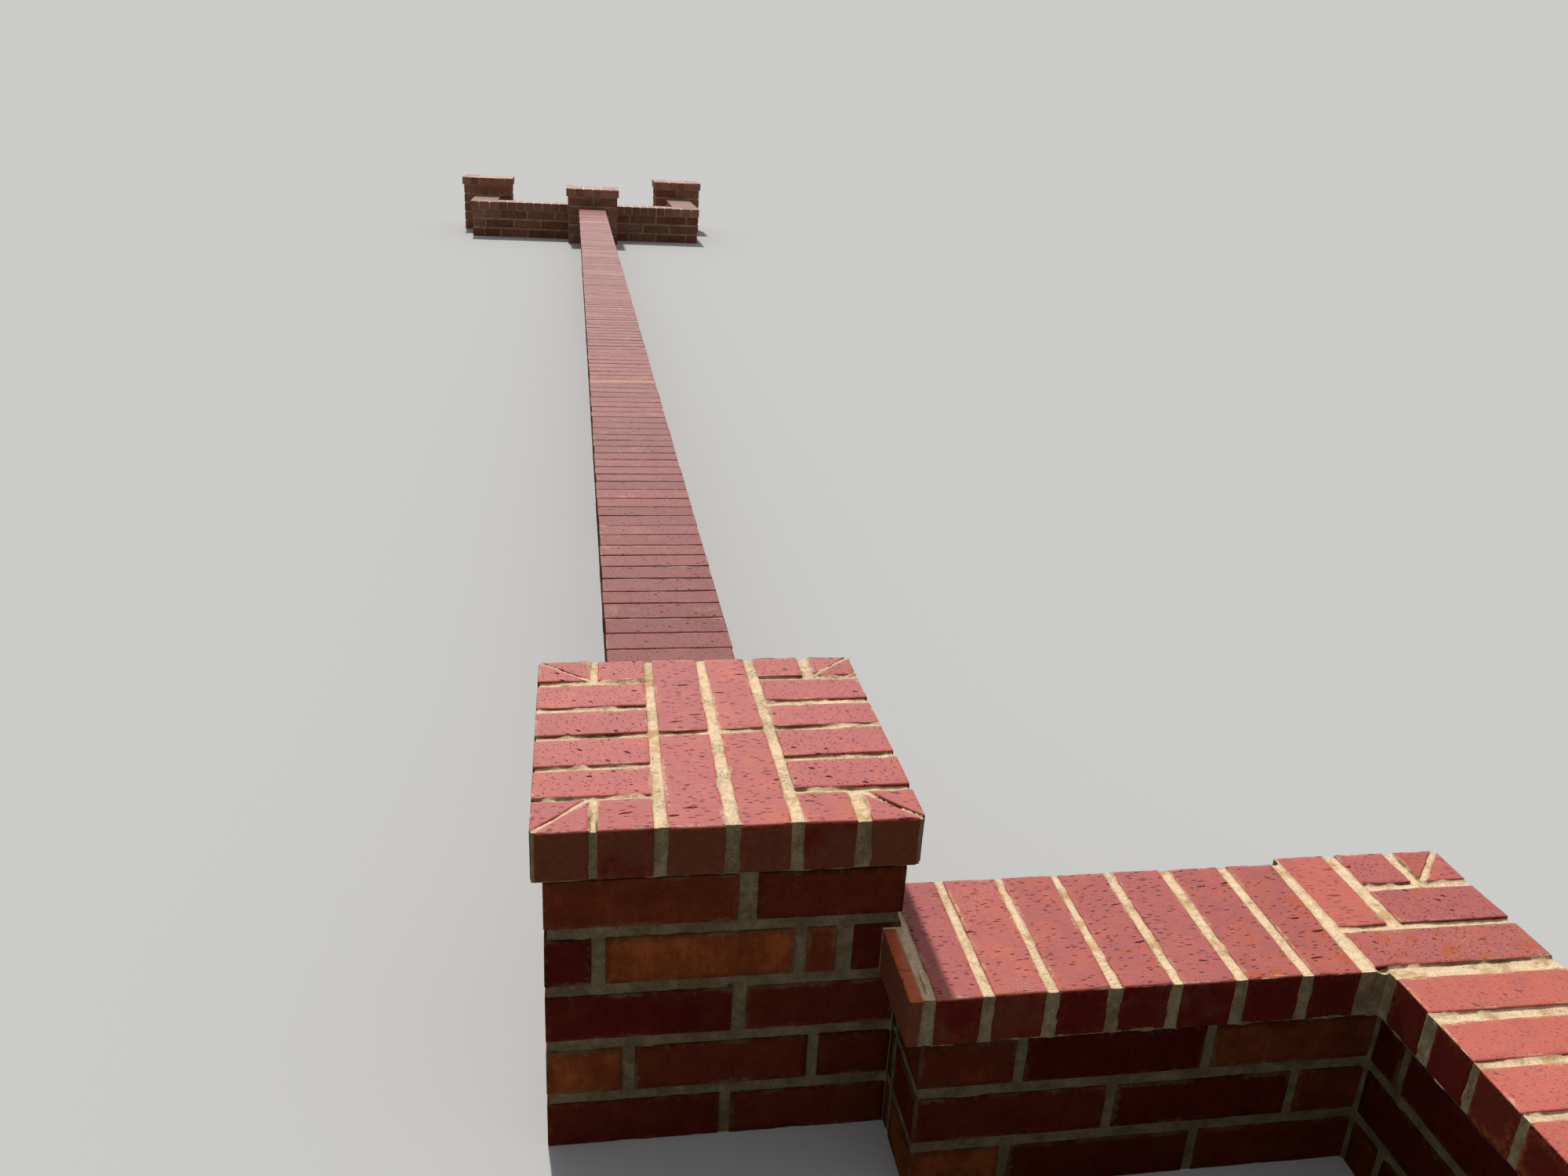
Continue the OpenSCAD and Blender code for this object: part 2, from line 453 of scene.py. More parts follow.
@dataclass
class Masonry:
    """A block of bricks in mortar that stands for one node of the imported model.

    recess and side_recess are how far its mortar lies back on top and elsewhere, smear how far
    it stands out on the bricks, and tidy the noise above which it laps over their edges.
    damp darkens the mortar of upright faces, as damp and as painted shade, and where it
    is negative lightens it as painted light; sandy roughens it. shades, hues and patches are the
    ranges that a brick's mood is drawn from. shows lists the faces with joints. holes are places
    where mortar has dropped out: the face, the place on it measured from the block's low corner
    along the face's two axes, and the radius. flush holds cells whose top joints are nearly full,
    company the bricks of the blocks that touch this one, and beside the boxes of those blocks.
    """

    node: str
    setout: Setout
    rng: np.random.Generator
    detail: Detail
    clay: Clay = Clay.COPING
    recess: float = 4.5 * MM
    side_recess: float = 2.5 * MM
    smear: float = 0.6 * MM
    tidy: float = 0.30
    damp: float = 0.0
    sandy: float = 0.25
    shades: Interval = (0.0, 1.0)
    hues: Interval = (0.0, 1.0)
    patches: Interval = (0.0, 1.0)
    shows: tuple[Face, ...] = tuple(Face)
    holes: tuple[tuple[Face, float, float, float], ...] = ()
    bricks: list[Brick] = field(default_factory=list)
    flush: list[np.ndarray] = field(default_factory=list)
    company: list[Brick] = field(default_factory=list)
    beside: list[tuple[np.ndarray, np.ndarray]] = field(default_factory=list)

    def set_out(self) -> None:
        """Lay the bricks; each kind of masonry has its own way."""
        raise NotImplementedError

    def lay(self, s: Interval, t: Interval, level: Interval, mood: Triple | None = None) -> None:
        """Lay a square-cornered brick between two positions along s, t and Z."""
        self.lay_plan(rectangle(s, t), level, mood)

    def lay_plan(self, corners: Corners, level: Interval, mood: Triple | None = None) -> None:
        """Lay a brick with the given plan, in s and t."""
        drawn = self.rng.random(3)
        if self.clay is Clay.WALL:
            drawn[0] **= DARKENING
        ranges = (self.shades, self.hues, self.patches)
        drawn = tuple(np.interp(value, (0, 1), ends) for value, ends in zip(drawn, ranges))
        base = self.setout.low[2]
        plan = self.setout.plan(corners)
        self.bricks.append(Brick(plan, base + level[0], base + level[1], mood or drawn))

    def brick_shell(self, brick: Brick) -> tuple[np.ndarray, np.ndarray, dict[str, np.ndarray]]:
        """One worn brick.

        A box lattice is rounded along its arrises, chipped where noise runs high near one, and
        carried to the brick's plan by the blend of its four corners.

        Returns:
            Points, quads, and what is kept on each point: its place in the brick along its
            length, width and height, the brick's half sizes in the same order, its mood, and the
            place across and along its drag marks.
        """
        half = brick.half
        arris = BOND.arris * self.rng.uniform(*WEAR.arris)
        lines = []
        for reach in half:
            inner = reach - arris
            cells = max(1, round(2 * inner / self.detail.brick))
            ends = [reach] if self.detail is Detail.FAR else [reach - WEAR.facet * arris, reach]
            inside = np.linspace(-inner, inner, cells + 1)
            lines.append(np.concatenate([-np.array(ends[::-1]), inside, ends]))
        points, quads = shell(lines)
        core = np.clip(points, arris - half, half - arris)
        out = points - core
        points = core + out * arris / np.linalg.norm(out, axis=1, keepdims=True)
        middle = np.append(brick.plan.mean(axis=0), (brick.top + brick.bottom) / 2)
        points = self.chip(points, half, middle)
        if self.detail is not Detail.FAR:
            mean, swing = WEAR.swell
            swell = (mean + swing * Noise.SWELL.at(points + middle)[:, None]) * MM
            points = points - np.sign(points) * (half - np.abs(points) < arris) * swell
        along_y = half[1] > half[0]
        order = [1, 0, 2] if along_y else [0, 1, 2]
        place = points[:, order]
        corner = (points[:, :2] / half[:2] + 1) / 2
        a, b = corner[:, :1], corner[:, 1:]
        weights = ((1 - a) * (1 - b), a * (1 - b), a * b, (1 - a) * b)
        flat = sum(weight * spot for weight, spot in zip(weights, brick.plan))
        tilt = self.rng.uniform(-1, 1, 2) * WEAR.tilt * MM
        lean = (corner * 2 - 1) @ tilt - np.abs(tilt).sum()
        height = points[:, 2] + middle[2] + lean * (points[:, 2] / half[2] + 1) / 2
        points = np.column_stack([flat, height])
        kept = {
            "clay_place": place,
            "clay_half": np.tile(half[order], (len(points), 1)),
            "clay_mood": np.tile(brick.mood, (len(points), 1)),
            "clay_drag": self.drag(points, along_y),
        }
        return points, quads, kept

    def drag(self, points: np.ndarray, along_y: bool) -> np.ndarray:
        """Place across and along the marks that the cutting wire dragged over a brick's top.

        The marks run across a brick that lies along Y. On one that lies along X they are shorter
        and slant. Distance along a mark is divided by its stretch, so round cells become marks.
        """
        marks = WEAR.drag_along_y if along_y else WEAR.drag_along_x
        angle = self.rng.normal(marks.angle, marks.sway)
        ahead = np.array([math.cos(angle), math.sin(angle)])
        aside = np.array([-math.sin(angle), math.cos(angle)])
        shift = self.rng.uniform(0, WEAR.drag_shift, 3)
        flat = points[:, :2]
        return np.column_stack([flat @ aside, flat @ ahead / marks.stretch, points[:, 2]]) + shift

    def chip(self, points: np.ndarray, half: np.ndarray, middle: np.ndarray) -> np.ndarray:
        """Take bites out of the arrises: a point near one moves in by the noise's excess.

        Args:
            points: The brick's own points.
            half: Its half sizes.
            middle: Where it lies, so that no two bricks are chipped alike.

        Returns:
            The moved points.
        """
        gap = np.clip(half - np.abs(points), 0, None)
        to_arris = np.sort(gap, axis=1)[:, 1]
        near = np.clip(1 - to_arris / WEAR.chip_reach, 0, 1) ** 2
        at = points + middle
        bite = WEAR.chip_depth * np.clip(Noise.CHIPS.at(at) - WEAR.chip_from, 0, 1)
        if self.detail is Detail.CLOSE:
            bite += WEAR.nick_depth * np.clip(Noise.NICKS.at(at) - WEAR.nick_from, 0, 1)
        inward = -np.sign(points) * (gap < WEAR.chip_reach)
        return points + inward * (near * bite)[:, None]

    def build_bricks(self, finish: bpy.types.Material) -> bpy.types.Object:
        """All the node's bricks as one mesh, with what each one keeps on its points."""
        shells = [self.brick_shell(brick) for brick in self.bricks]
        starts = np.cumsum([0] + [len(points) for points, _, _ in shells])
        return mesh_object(
            f"{self.node}_bricks",
            np.concatenate([points for points, _, _ in shells]),
            np.concatenate([quads + start for (_, quads, _), start in zip(shells, starts)]),
            finish,
            smooth=self.detail is not Detail.FAR,
            attributes={
                key: np.concatenate([kept[key] for _, _, kept in shells]) for key in shells[0][2]
            },
        )

    def face_outlines(self, face: Face) -> list[np.ndarray]:
        """Outlines of the bricks that reach a face's plane, in that face's two other axes."""
        bricks = self.bricks + self.company
        edge = self.setout.edge(face)
        if face is Face.TOP:
            return [brick.plan for brick in bricks if abs(edge - brick.top) < POINTING.top_reach]
        outlines = []
        for brick in bricks:
            near = np.abs(brick.plan[:, face.axis] - edge) < POINTING.side_reach
            if near.sum() >= 2:
                low, high = np.sort(brick.plan[near, 1 - face.axis])[[0, -1]]
                outlines.append(np.array(rectangle((low, high), (brick.bottom, brick.top))))
        return outlines

    def mortar_level(self, points: np.ndarray, face: Face) -> tuple[np.ndarray, np.ndarray]:
        """How far the mortar stands out from a face's plane at each point, mostly below nothing.

        In a joint it lies back by the recess, a little more or less along the joint. Where noise
        runs high it climbs to the bricks beside it and laps over their edges.

        Returns:
            The levels, and how deep in a brick's outline each point lies, below nothing in a joint.
        """
        recess = self.recess if face is Face.TOP else self.side_recess
        level = np.full(len(points), -recess)
        deep = np.full(len(points), -BOND.head_joint / 2)
        if self.detail is not Detail.FAR:
            (mean, swing), (factor, shift, least) = POINTING.uneven, POINTING.film
            spread, broad = Noise.SPREAD.at(points), Noise.BROAD.at(points)
            plane = [axis for axis in range(3) if axis != face.axis]
            deep = inside_distance(points[:, plane], self.face_outlines(face))
            if face is Face.TOP and self.flush:
                strip = inside_distance(points[:, plane], self.flush)
                strip = np.clip(strip / POINTING.strip_edge + 1, 0, 1)
                recess = recess * (1 - POINTING.fill * strip)
            cover = np.clip((spread - self.tidy) * POINTING.climb, 0, 1)
            cover *= np.clip(1 + deep / POINTING.lap, 0, 1)
            sunk = np.clip(1.0 - deep / POINTING.brink, 0, 1) * (1 - cover)
            level = self.smear * np.clip(spread * factor - shift, least, 1)
            if face is not Face.TOP:
                recess = recess * self.raking(points)
            inward = POINTING.inward * np.clip(deep, 0, None)
            level -= inward + recess * (mean + swing * broad) * sunk
            for pitted, u, v, radius in self.holes:
                if pitted is face:
                    apart = points[:, plane] - self.setout.low[plane] - (u, v)
                    away = np.linalg.norm(apart, axis=1) / radius
                    level -= POINTING.hole_depth * np.clip(POINTING.hole_rim - away, 0, 1)
            level = np.maximum(level, -POINTING.deepest)
        sand, lumps = POINTING.grain
        grain = Noise.GRAINS.at(points) * sand + Noise.LUMPS.at(points) * lumps
        return np.minimum(level + grain * MM - BOND.clearance, -POINTING.skin), deep

    def raking(self, points: np.ndarray) -> np.ndarray:
        """How deep a joint is struck, as a share of its recess: most under a brick."""
        above = (points[:, 2] - self.setout.low[2]) % BOND.course - BOND.height
        share, more = POINTING.struck
        return share + more * np.clip(above / BOND.bed_joint, 0, 1)

    def buried(self, points: np.ndarray, face: Face) -> np.ndarray:
        """Which points of a face lie against another block, so that no joint shows there."""
        slack, ahead = 0.1 * MM, 2 * MM
        probe = points.copy()
        probe[:, face.axis] = self.setout.edge(face) + face.side * ahead
        hidden = np.zeros(len(points), bool)
        for low, high in self.beside:
            hidden |= ((probe > low - slack) & (probe < high + slack)).all(axis=1)
        return hidden

    def build_mortar(self, finish: bpy.types.Material) -> bpy.types.Object:
        """The node's mortar: a block whose showing faces sink in the joints between the bricks.

        Points close behind a face go back with it, so that no edge is left standing.
        """
        behind, slope, sharp = 10 * MM, 0.05, math.radians(50)
        low, high = self.setout.low, self.setout.high
        edges = [
            np.unique(np.round(np.concatenate([brick.plan[:, axis] for brick in self.bricks]), 3))
            for axis in (0, 1)
        ]
        edges.append(np.unique([(brick.bottom, brick.top) for brick in self.bricks]))
        lines = [graded_lines(low[i], high[i], edges[i], self.detail) for i in range(3)]
        points, quads = shell(lines)
        moved = points.copy()
        stain = np.tile((-BOND.head_joint, self.damp, self.sandy), (len(points), 1))
        for face in self.shows:
            edge = self.setout.edge(face)
            depth = face.side * (points[:, face.axis] - edge)
            on = depth > -behind
            level, deep = self.mortar_level(points[on], face)
            stain[on, 0] = np.maximum(stain[on, 0], deep)
            level[self.buried(points[on], face)] = 0
            back = np.minimum(depth[on], level + slope * depth[on])
            moved[on, face.axis] = edge + face.side * back
        attributes = {"mortar_stain": stain}
        made = mesh_object(f"{self.node}_mortar", moved, quads, finish, True, attributes)
        made.data.set_sharp_from_angle(angle=sharp)
        return made

    def meet(self, others: list[Masonry]) -> None:
        """Note the blocks that touch this one, and their bricks within 40 mm of it."""
        reach = 40 * MM
        low, high = self.setout.low - reach, self.setout.high + reach
        for other in others:
            if other is self or (other.setout.low > high).any() or (other.setout.high < low).any():
                continue
            self.beside.append((other.setout.low, other.setout.high))
            for brick in other.bricks:
                under, over = brick.plan.min(axis=0), brick.plan.max(axis=0)
                if (under < high[:2]).all() and (over > low[:2]).all():
                    self.company.append(brick)

    def build(self, finishes: dict[str, bpy.types.Material]) -> None:
        """Make the bricks and the mortar, and put them in the node's place on its body."""
        bricks = self.build_bricks(finishes[self.clay.value])
        mortar = self.build_mortar(finishes["mortar"])
        for piece, slot in ((bricks, self.clay.value), (mortar, "mortar")):
            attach(piece, BODY)
        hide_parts(self.node)
        faces = len(bricks.data.polygons) + len(mortar.data.polygons)
        LOG.info("%s: %d bricks, %d faces", self.node, len(self.bricks), faces)


def shared_out(
    length: float, count: int, joint: float, spread: float, rng: np.random.Generator
) -> list[Interval]:
    """Bricks of nearly one width along a length, with half a joint at either end.

    Args:
        length: The length that they share out.
        count: How many bricks.
        joint: Mean joint between two.
        spread: How far a joint may stray, in metres.
        rng: Draws the strays.

    Returns:
        Where each brick begins and ends.
    """
    joints = np.linspace(0, length, count + 1)
    joints[1:-1] += rng.uniform(-spread, spread, count - 1)
    width = joint * rng.uniform(*STRAYS.joint, count + 1) / 2
    return list(zip((joints[:-1] + width[:-1]).tolist(), (joints[1:] - width[1:]).tolist()))


def stretchers(
    length: float, offset: float, flush: bool, rng: np.random.Generator
) -> list[Interval]:
    """Whole bricks end to end along a wall, the first one cut to the offset.

    Args:
        length: Length of the wall.
        offset: Where the first joint lies.
        flush: Whether the first brick's end shows, so that no joint comes before it.
        rng: Draws the small errors of setting out.

    Returns:
        Where each brick begins and ends.
    """
    least, stray = 60 * MM, 4 * MM
    joints = np.arange(offset, length, BOND.pitch)
    joints = joints[(joints > least) & (joints < length - least)]
    joints = joints + rng.uniform(-stray, stray, len(joints))
    half = BOND.head_joint / 2
    starts = np.concatenate([[0.0 if flush else half], joints + half])
    ends = np.concatenate([joints - half, [length - half]])
    return list(zip(starts.tolist(), ends.tolist()))


@dataclass
class Pier(Masonry):
    """A square pier: each course is a ring of bricks, and every other one is turned.

    fronts gives the front face's bricks course by course from the top, where they are known, and
    moods their moods by course and place.
    """

    clay: Clay = Clay.WALL
    side_recess: float = 3.5 * MM
    shows: tuple[Face, ...] = (*SIDES, *ENDS)
    courses: int = 5
    fronts: tuple[tuple[Interval, ...], ...] = ()
    moods: dict[tuple[int, int], Triple] = field(default_factory=dict)

    def set_out(self) -> None:
        """Lay all the courses."""
        for row in range(self.courses):
            base = (self.courses - 1 - row) * BOND.course
            turned = row % 2 == 1
            front = self.fronts[row] if row < len(self.fronts) else self.usual_front(turned)
            lay_course = self.turned_course if turned else self.straight_course
            lay_course(front, (base, base + BOND.height), row)

    def usual_front(self, turned: bool) -> tuple[Interval, ...]:
        """The front of a course: two bricks, or a brick between two ends where it is turned."""
        width, joint, end = self.setout.size[0], BOND.head_joint, BOND.width
        if turned:
            return ((0, end), (end + joint, width - end - joint), (width - end, width))
        split = width / 2 + self.rng.uniform(-STRAYS.front_split, STRAYS.front_split) * MM
        return ((0, split - joint / 2), (split + joint / 2, width))

    def straight_course(self, front: tuple[Interval, ...], level: Interval, row: int) -> None:
        """Front and back bricks from side to side, and one brick between them at either side."""
        width, depth = self.setout.size[:2]
        ring, joint = BOND.width, BOND.head_joint
        for number, span in enumerate(front):
            self.lay(span, (0, ring), level, self.moods.get((row, number)))
        for span in self.usual_front(False):
            self.lay(span, (depth - ring, depth), level)
        for side in ((0, ring), (width - ring, width)):
            self.lay(side, (ring + joint, depth - ring - joint), level)

    def turned_course(self, front: tuple[Interval, ...], level: Interval, row: int) -> None:
        """The outermost front bricks run back along the sides, and the rest fill the faces."""
        depth, ring, joint = self.setout.size[1], BOND.width, BOND.head_joint
        for number, span in enumerate(front):
            mood = self.moods.get((row, number))
            if 0 < number < len(front) - 1:
                self.lay(span, (0, ring), level, mood)
                continue
            split = depth / 2 + self.rng.uniform(-STRAYS.side_split, STRAYS.side_split) * MM
            self.lay(span, (0, split - joint / 2), level, mood)
            self.lay(span, (split + joint / 2, depth), level)
        self.lay((front[0][1] + joint, front[-1][0] - joint), (depth - ring, depth), level)


@dataclass
class PierCap(Masonry):
    """The course that caps a pier: stretchers down the middle, bats at the sides, mitred corners.

    The edges of its six columns and six rows are given at either end, because the joints aren't
    quite parallel.
    """

    recess: float = 3.8 * MM
    smear: float = 1.2 * MM
    tidy: float = 0.12
    shades: Interval = (0.85, 1.4)
    patches: Interval = (0.0, 0.48)
    columns: tuple[tuple[float, ...], ...] = ()
    rows: tuple[tuple[float, ...], ...] = ()
    right_mitre: float = BOND.mitre_joint

    def edges(self) -> tuple[float, ...]:
        """Twelve edges of six brick ends across the cap, with small errors."""
        ends = [(i * BOND.module, i * BOND.module + BOND.end) for i in range(6)]
        strays = self.rng.uniform(-STRAYS.cap_edge, STRAYS.cap_edge, (6, 2)) * MM
        strays[0, 0] = strays[5, 1] = 0
        return tuple((np.array(ends) + strays).ravel().tolist())

    def crossing(self, column: int, row: int) -> tuple[float, float]:
        """Where the line of a column's edge meets the line of a row's edge."""
        (front, back), (left, right) = self.columns, self.rows
        width, depth = self.setout.size[:2]
        s, t = front[column], left[row]
        for _ in range(4):
            s = front[column] + (back[column] - front[column]) * t / depth
            t = left[row] + (right[row] - left[row]) * s / width
        return s, t

    def cell(self, columns: tuple[int, int], rows: tuple[int, int]) -> Corners:
        """The plan of a brick over the given edges."""
        return [self.crossing(column, row) for column, row in rectangle(columns, rows)]

    def set_out(self) -> None:
        """Lay the cap's bricks."""
        self.columns = self.columns or (self.edges(), self.edges())
        self.rows = self.rows or (self.edges(), self.edges())
        level = (0, self.setout.size[2])
        for columns in ((3, 4), (5, 6), (7, 8)):
            self.flush.append(self.setout.plan(self.cell(columns, (0, 11))))
        middle = [((at, at + 1), rows) for at in (4, 6) for rows in ((0, 5), (6, 11))]
        bats = [(columns, (at, at + 1)) for at in (2, 4, 6, 8) for columns in ((0, 3), (8, 11))]
        for columns, rows in middle + bats:
            self.lay_plan(self.cell(columns, rows), level)
        for row in (0, 10):
            rows = (row, row + 1)
            for column in (2, 8):
                self.lay_plan(self.cell((column, column + 1), rows), level)
            for column in (0, 10):
                cell = self.cell((column, column + 1), rows)
                joint = self.right_mitre if (row, column) == (0, 10) else BOND.mitre_joint
                for half in mitred_halves(cell, joint, rising=(row == 0) == (column == 0)):
                    self.lay_plan(half, level)
                if joint == BOND.mitre_joint:
                    self.flush.append(self.setout.plan(cell))


def mitred_halves(cell: Corners, joint: float, rising: bool) -> list[Corners]:
    """Split a cell along a diagonal into two triangles, each with a fourth corner on its long side.

    Args:
        cell: The cell's corners, anticlockwise from low s and t.
        joint: Width of the joint between the halves.
        rising: Whether the cut runs from the first corner to the third one.

    Returns:
        The two plans.
    """
    points = np.array(cell) if rising else np.roll(cell, -1, axis=0)
    first, second, third, fourth = points
    along = (third - first) / np.linalg.norm(third - first)
    off = np.array([along[1], -along[0]]) * joint / 2
    shift = along * joint / 2
    middle = (first + third) / 2
    lower = [first + off + shift, second, third + off - shift, middle + off]
    upper = [first - off + shift, middle - off, third - off - shift, fourth]
    low, high = points.min(axis=0), points.max(axis=0)
    turn = 0 if rising else 1
    return [np.clip(np.roll(half, turn, axis=0), low, high).tolist() for half in (lower, upper)]


@dataclass
class Coping(Masonry):
    """Bricks laid side by side across a wall's top, along s or along t.

    near and far give each brick's span at the low and at the high side of the coping. last gives
    the last bricks' spans where only they are known, and rest how many come before them.
    """

    along_t: bool = False
    joint: float = BOND.head_joint
    spread: float = 3.0 * MM
    near: tuple[Interval, ...] = ()
    far: tuple[Interval, ...] = ()
    last: tuple[Interval, ...] = ()
    rest: int = 0
    moods: tuple[Triple, ...] = ()

    def set_out(self) -> None:
        """Lay the bricks."""
        if self.last:
            length, stray = self.last[0][0] - self.joint / 2, STRAYS.known_coping * MM
            self.near = (*shared_out(length, self.rest, self.joint, stray, self.rng), *self.last)
        axis = 1 if self.along_t else 0
        length, width = self.setout.size[axis], self.setout.size[1 - axis]
        count = max(1, round(length / (BOND.end + self.joint)))
        near = self.near or shared_out(length, count, self.joint, self.spread, self.rng)
        for number, ((n0, n1), (f0, f1)) in enumerate(zip(near, self.far or near)):
            low, high = self.rng.uniform(0, STRAYS.coping_end, 2) * MM
            corners = [(n0, low), (n1, low), (f1, width - high), (f0, width - high)]
            if self.along_t:
                corners = [corners[i][::-1] for i in (0, 3, 2, 1)]
            mood = self.moods[number] if self.moods else None
            self.lay_plan(corners, (0, self.setout.size[2]), mood)


@dataclass
class MitredCorner(Masonry):
    """The corner of a coping: its bricks step round like crossed logs to one split on the mitre.

    columns and rows are the bricks' spans along s and t, in millimetres.
    """

    columns: tuple[Interval, ...] = ((2, 75), (95, 173), (190, 259))
    rows: tuple[Interval, ...] = ((10, 82), (95, 171), (186, 259))

    def set_out(self) -> None:
        """Lay the corner's six bricks, two of them halves."""
        level = (0, self.setout.size[2])
        (a0, a1), (b0, b1), (c0, c1) = spans(*self.columns)
        (p0, p1), (q0, q1), (r0, r1) = spans(*self.rows)
        cell = rectangle((c0, c1), (r0, r1))
        for corners in (rectangle((0.0, a0), (0.0, r1)), rectangle((a1, b0), (p1, r1)), cell):
            self.flush.append(self.setout.plan(corners))
        self.lay((a0, c1), (p0, p1), level)
        self.lay((a0, a1), (q0, r1), level)
        self.lay((b0, c1), (q0, q1), level)
        self.lay((b0, b1), (r0, r1), level)
        for half in mitred_halves(cell, BOND.wide_mitre, rising=True):
            self.lay_plan(half, level)


@dataclass
class Wall(Masonry):
    """Courses of stretchers in two leaves, broken by half a brick from course to course."""

    clay: Clay = Clay.WALL
    along_t: bool = False
    courses: int = 3
    end_shows: bool = False

    def set_out(self) -> None:
        """Lay the courses."""
        axis = 1 if self.along_t else 0
        length, thick = self.setout.size[axis], self.setout.size[1 - axis]
        for course in range(self.courses):
            level = (course * BOND.course, course * BOND.course + BOND.height)
            run = length
            if self.end_shows and course % 2 == 0:
                run = length - BOND.width - BOND.head_joint / 2
                self.lay_along((length - BOND.width, length), (0, thick), level)
            for leaf in ((0, BOND.width), (thick - BOND.width, thick)):
                offset = BOND.pitch * (1 if course % 2 else 0.5)
                for begin, end in stretchers(run, offset, self.end_shows, self.rng):
                    last = self.end_shows and course % 2 and end > run - BOND.head_joint
                    self.lay_along((begin, run if last else end), leaf, level)

    def lay_along(self, span: Interval, leaf: Interval, level: Interval) -> None:
        """Lay a brick by its place along the wall and across it."""
        s, t = (leaf, span) if self.along_t else (span, leaf)
        self.lay(s, t, level)


@dataclass
class Closer(Masonry):
    """The thin cut brick, and its joint, that close a wing's coping in front of the pier."""

    recess: float = 2.0 * MM
    smear: float = -2.0 * MM
    corners: tuple[Interval, ...] = ((0, 0.5), (16.5, 0.5), (17.5, 143.0), (0, 143.0))
    mood: Triple = (1.5, 0.8, 0.995)

    def set_out(self) -> None:
        """Lay the one brick."""
        self.lay_plan(list(spans(*self.corners)), (0, self.setout.size[2]), self.mood)


class Wire:
    """An output of a shader node: arithmetic on it adds Math nodes to its tree."""

    def __init__(self, shader: Shader, socket: bpy.types.NodeSocket) -> None:
        """Wrap a socket of a shader's node."""
        self.shader = shader
        self.socket = socket

    def other(self, key: int | str) -> Wire:
        """Another output of the same node."""
        return Wire(self.shader, self.socket.node.outputs[key])

    def math(self, operation: str, *others: Wire | float) -> Wire:
        """This value and others through one Math node."""
        inputs = dict(enumerate((self, *others)))
        return self.shader.node("ShaderNodeMath", {"operation": operation}, inputs)

    def __add__(self, other: Wire | float) -> Wire:
        """Sum."""
        return self.math("ADD", other)

    def __sub__(self, other: Wire | float) -> Wire:
        """Difference."""
        return self.math("SUBTRACT", other)

    def __rsub__(self, other: float) -> Wire:
        """A number less this value."""
        return (self * -1) + other

    def __mul__(self, other: Wire | float) -> Wire:
        """Product."""
        return self.math("MULTIPLY", other)

    __radd__ = __add__
    __rmul__ = __mul__

    def least(self, other: Wire | float) -> Wire:
        """The smaller of two values."""
        return self.math("MINIMUM", other)

    def most(self, other: Wire | float) -> Wire:
        """The larger of two values."""
        return self.math("MAXIMUM", other)

    def size(self) -> Wire:
        """The value without its sign."""
        return self.math("ABSOLUTE")

    def step(self, low: Wire | float, high: Wire | float) -> Wire:
        """A smooth step: 0 at low, 1 at high, whichever of the two is larger."""
        inputs = {"Value": self, "From Min": low, "From Max": high}
        return self.shader.node("ShaderNodeMapRange", {"interpolation_type": "SMOOTHSTEP"}, inputs)


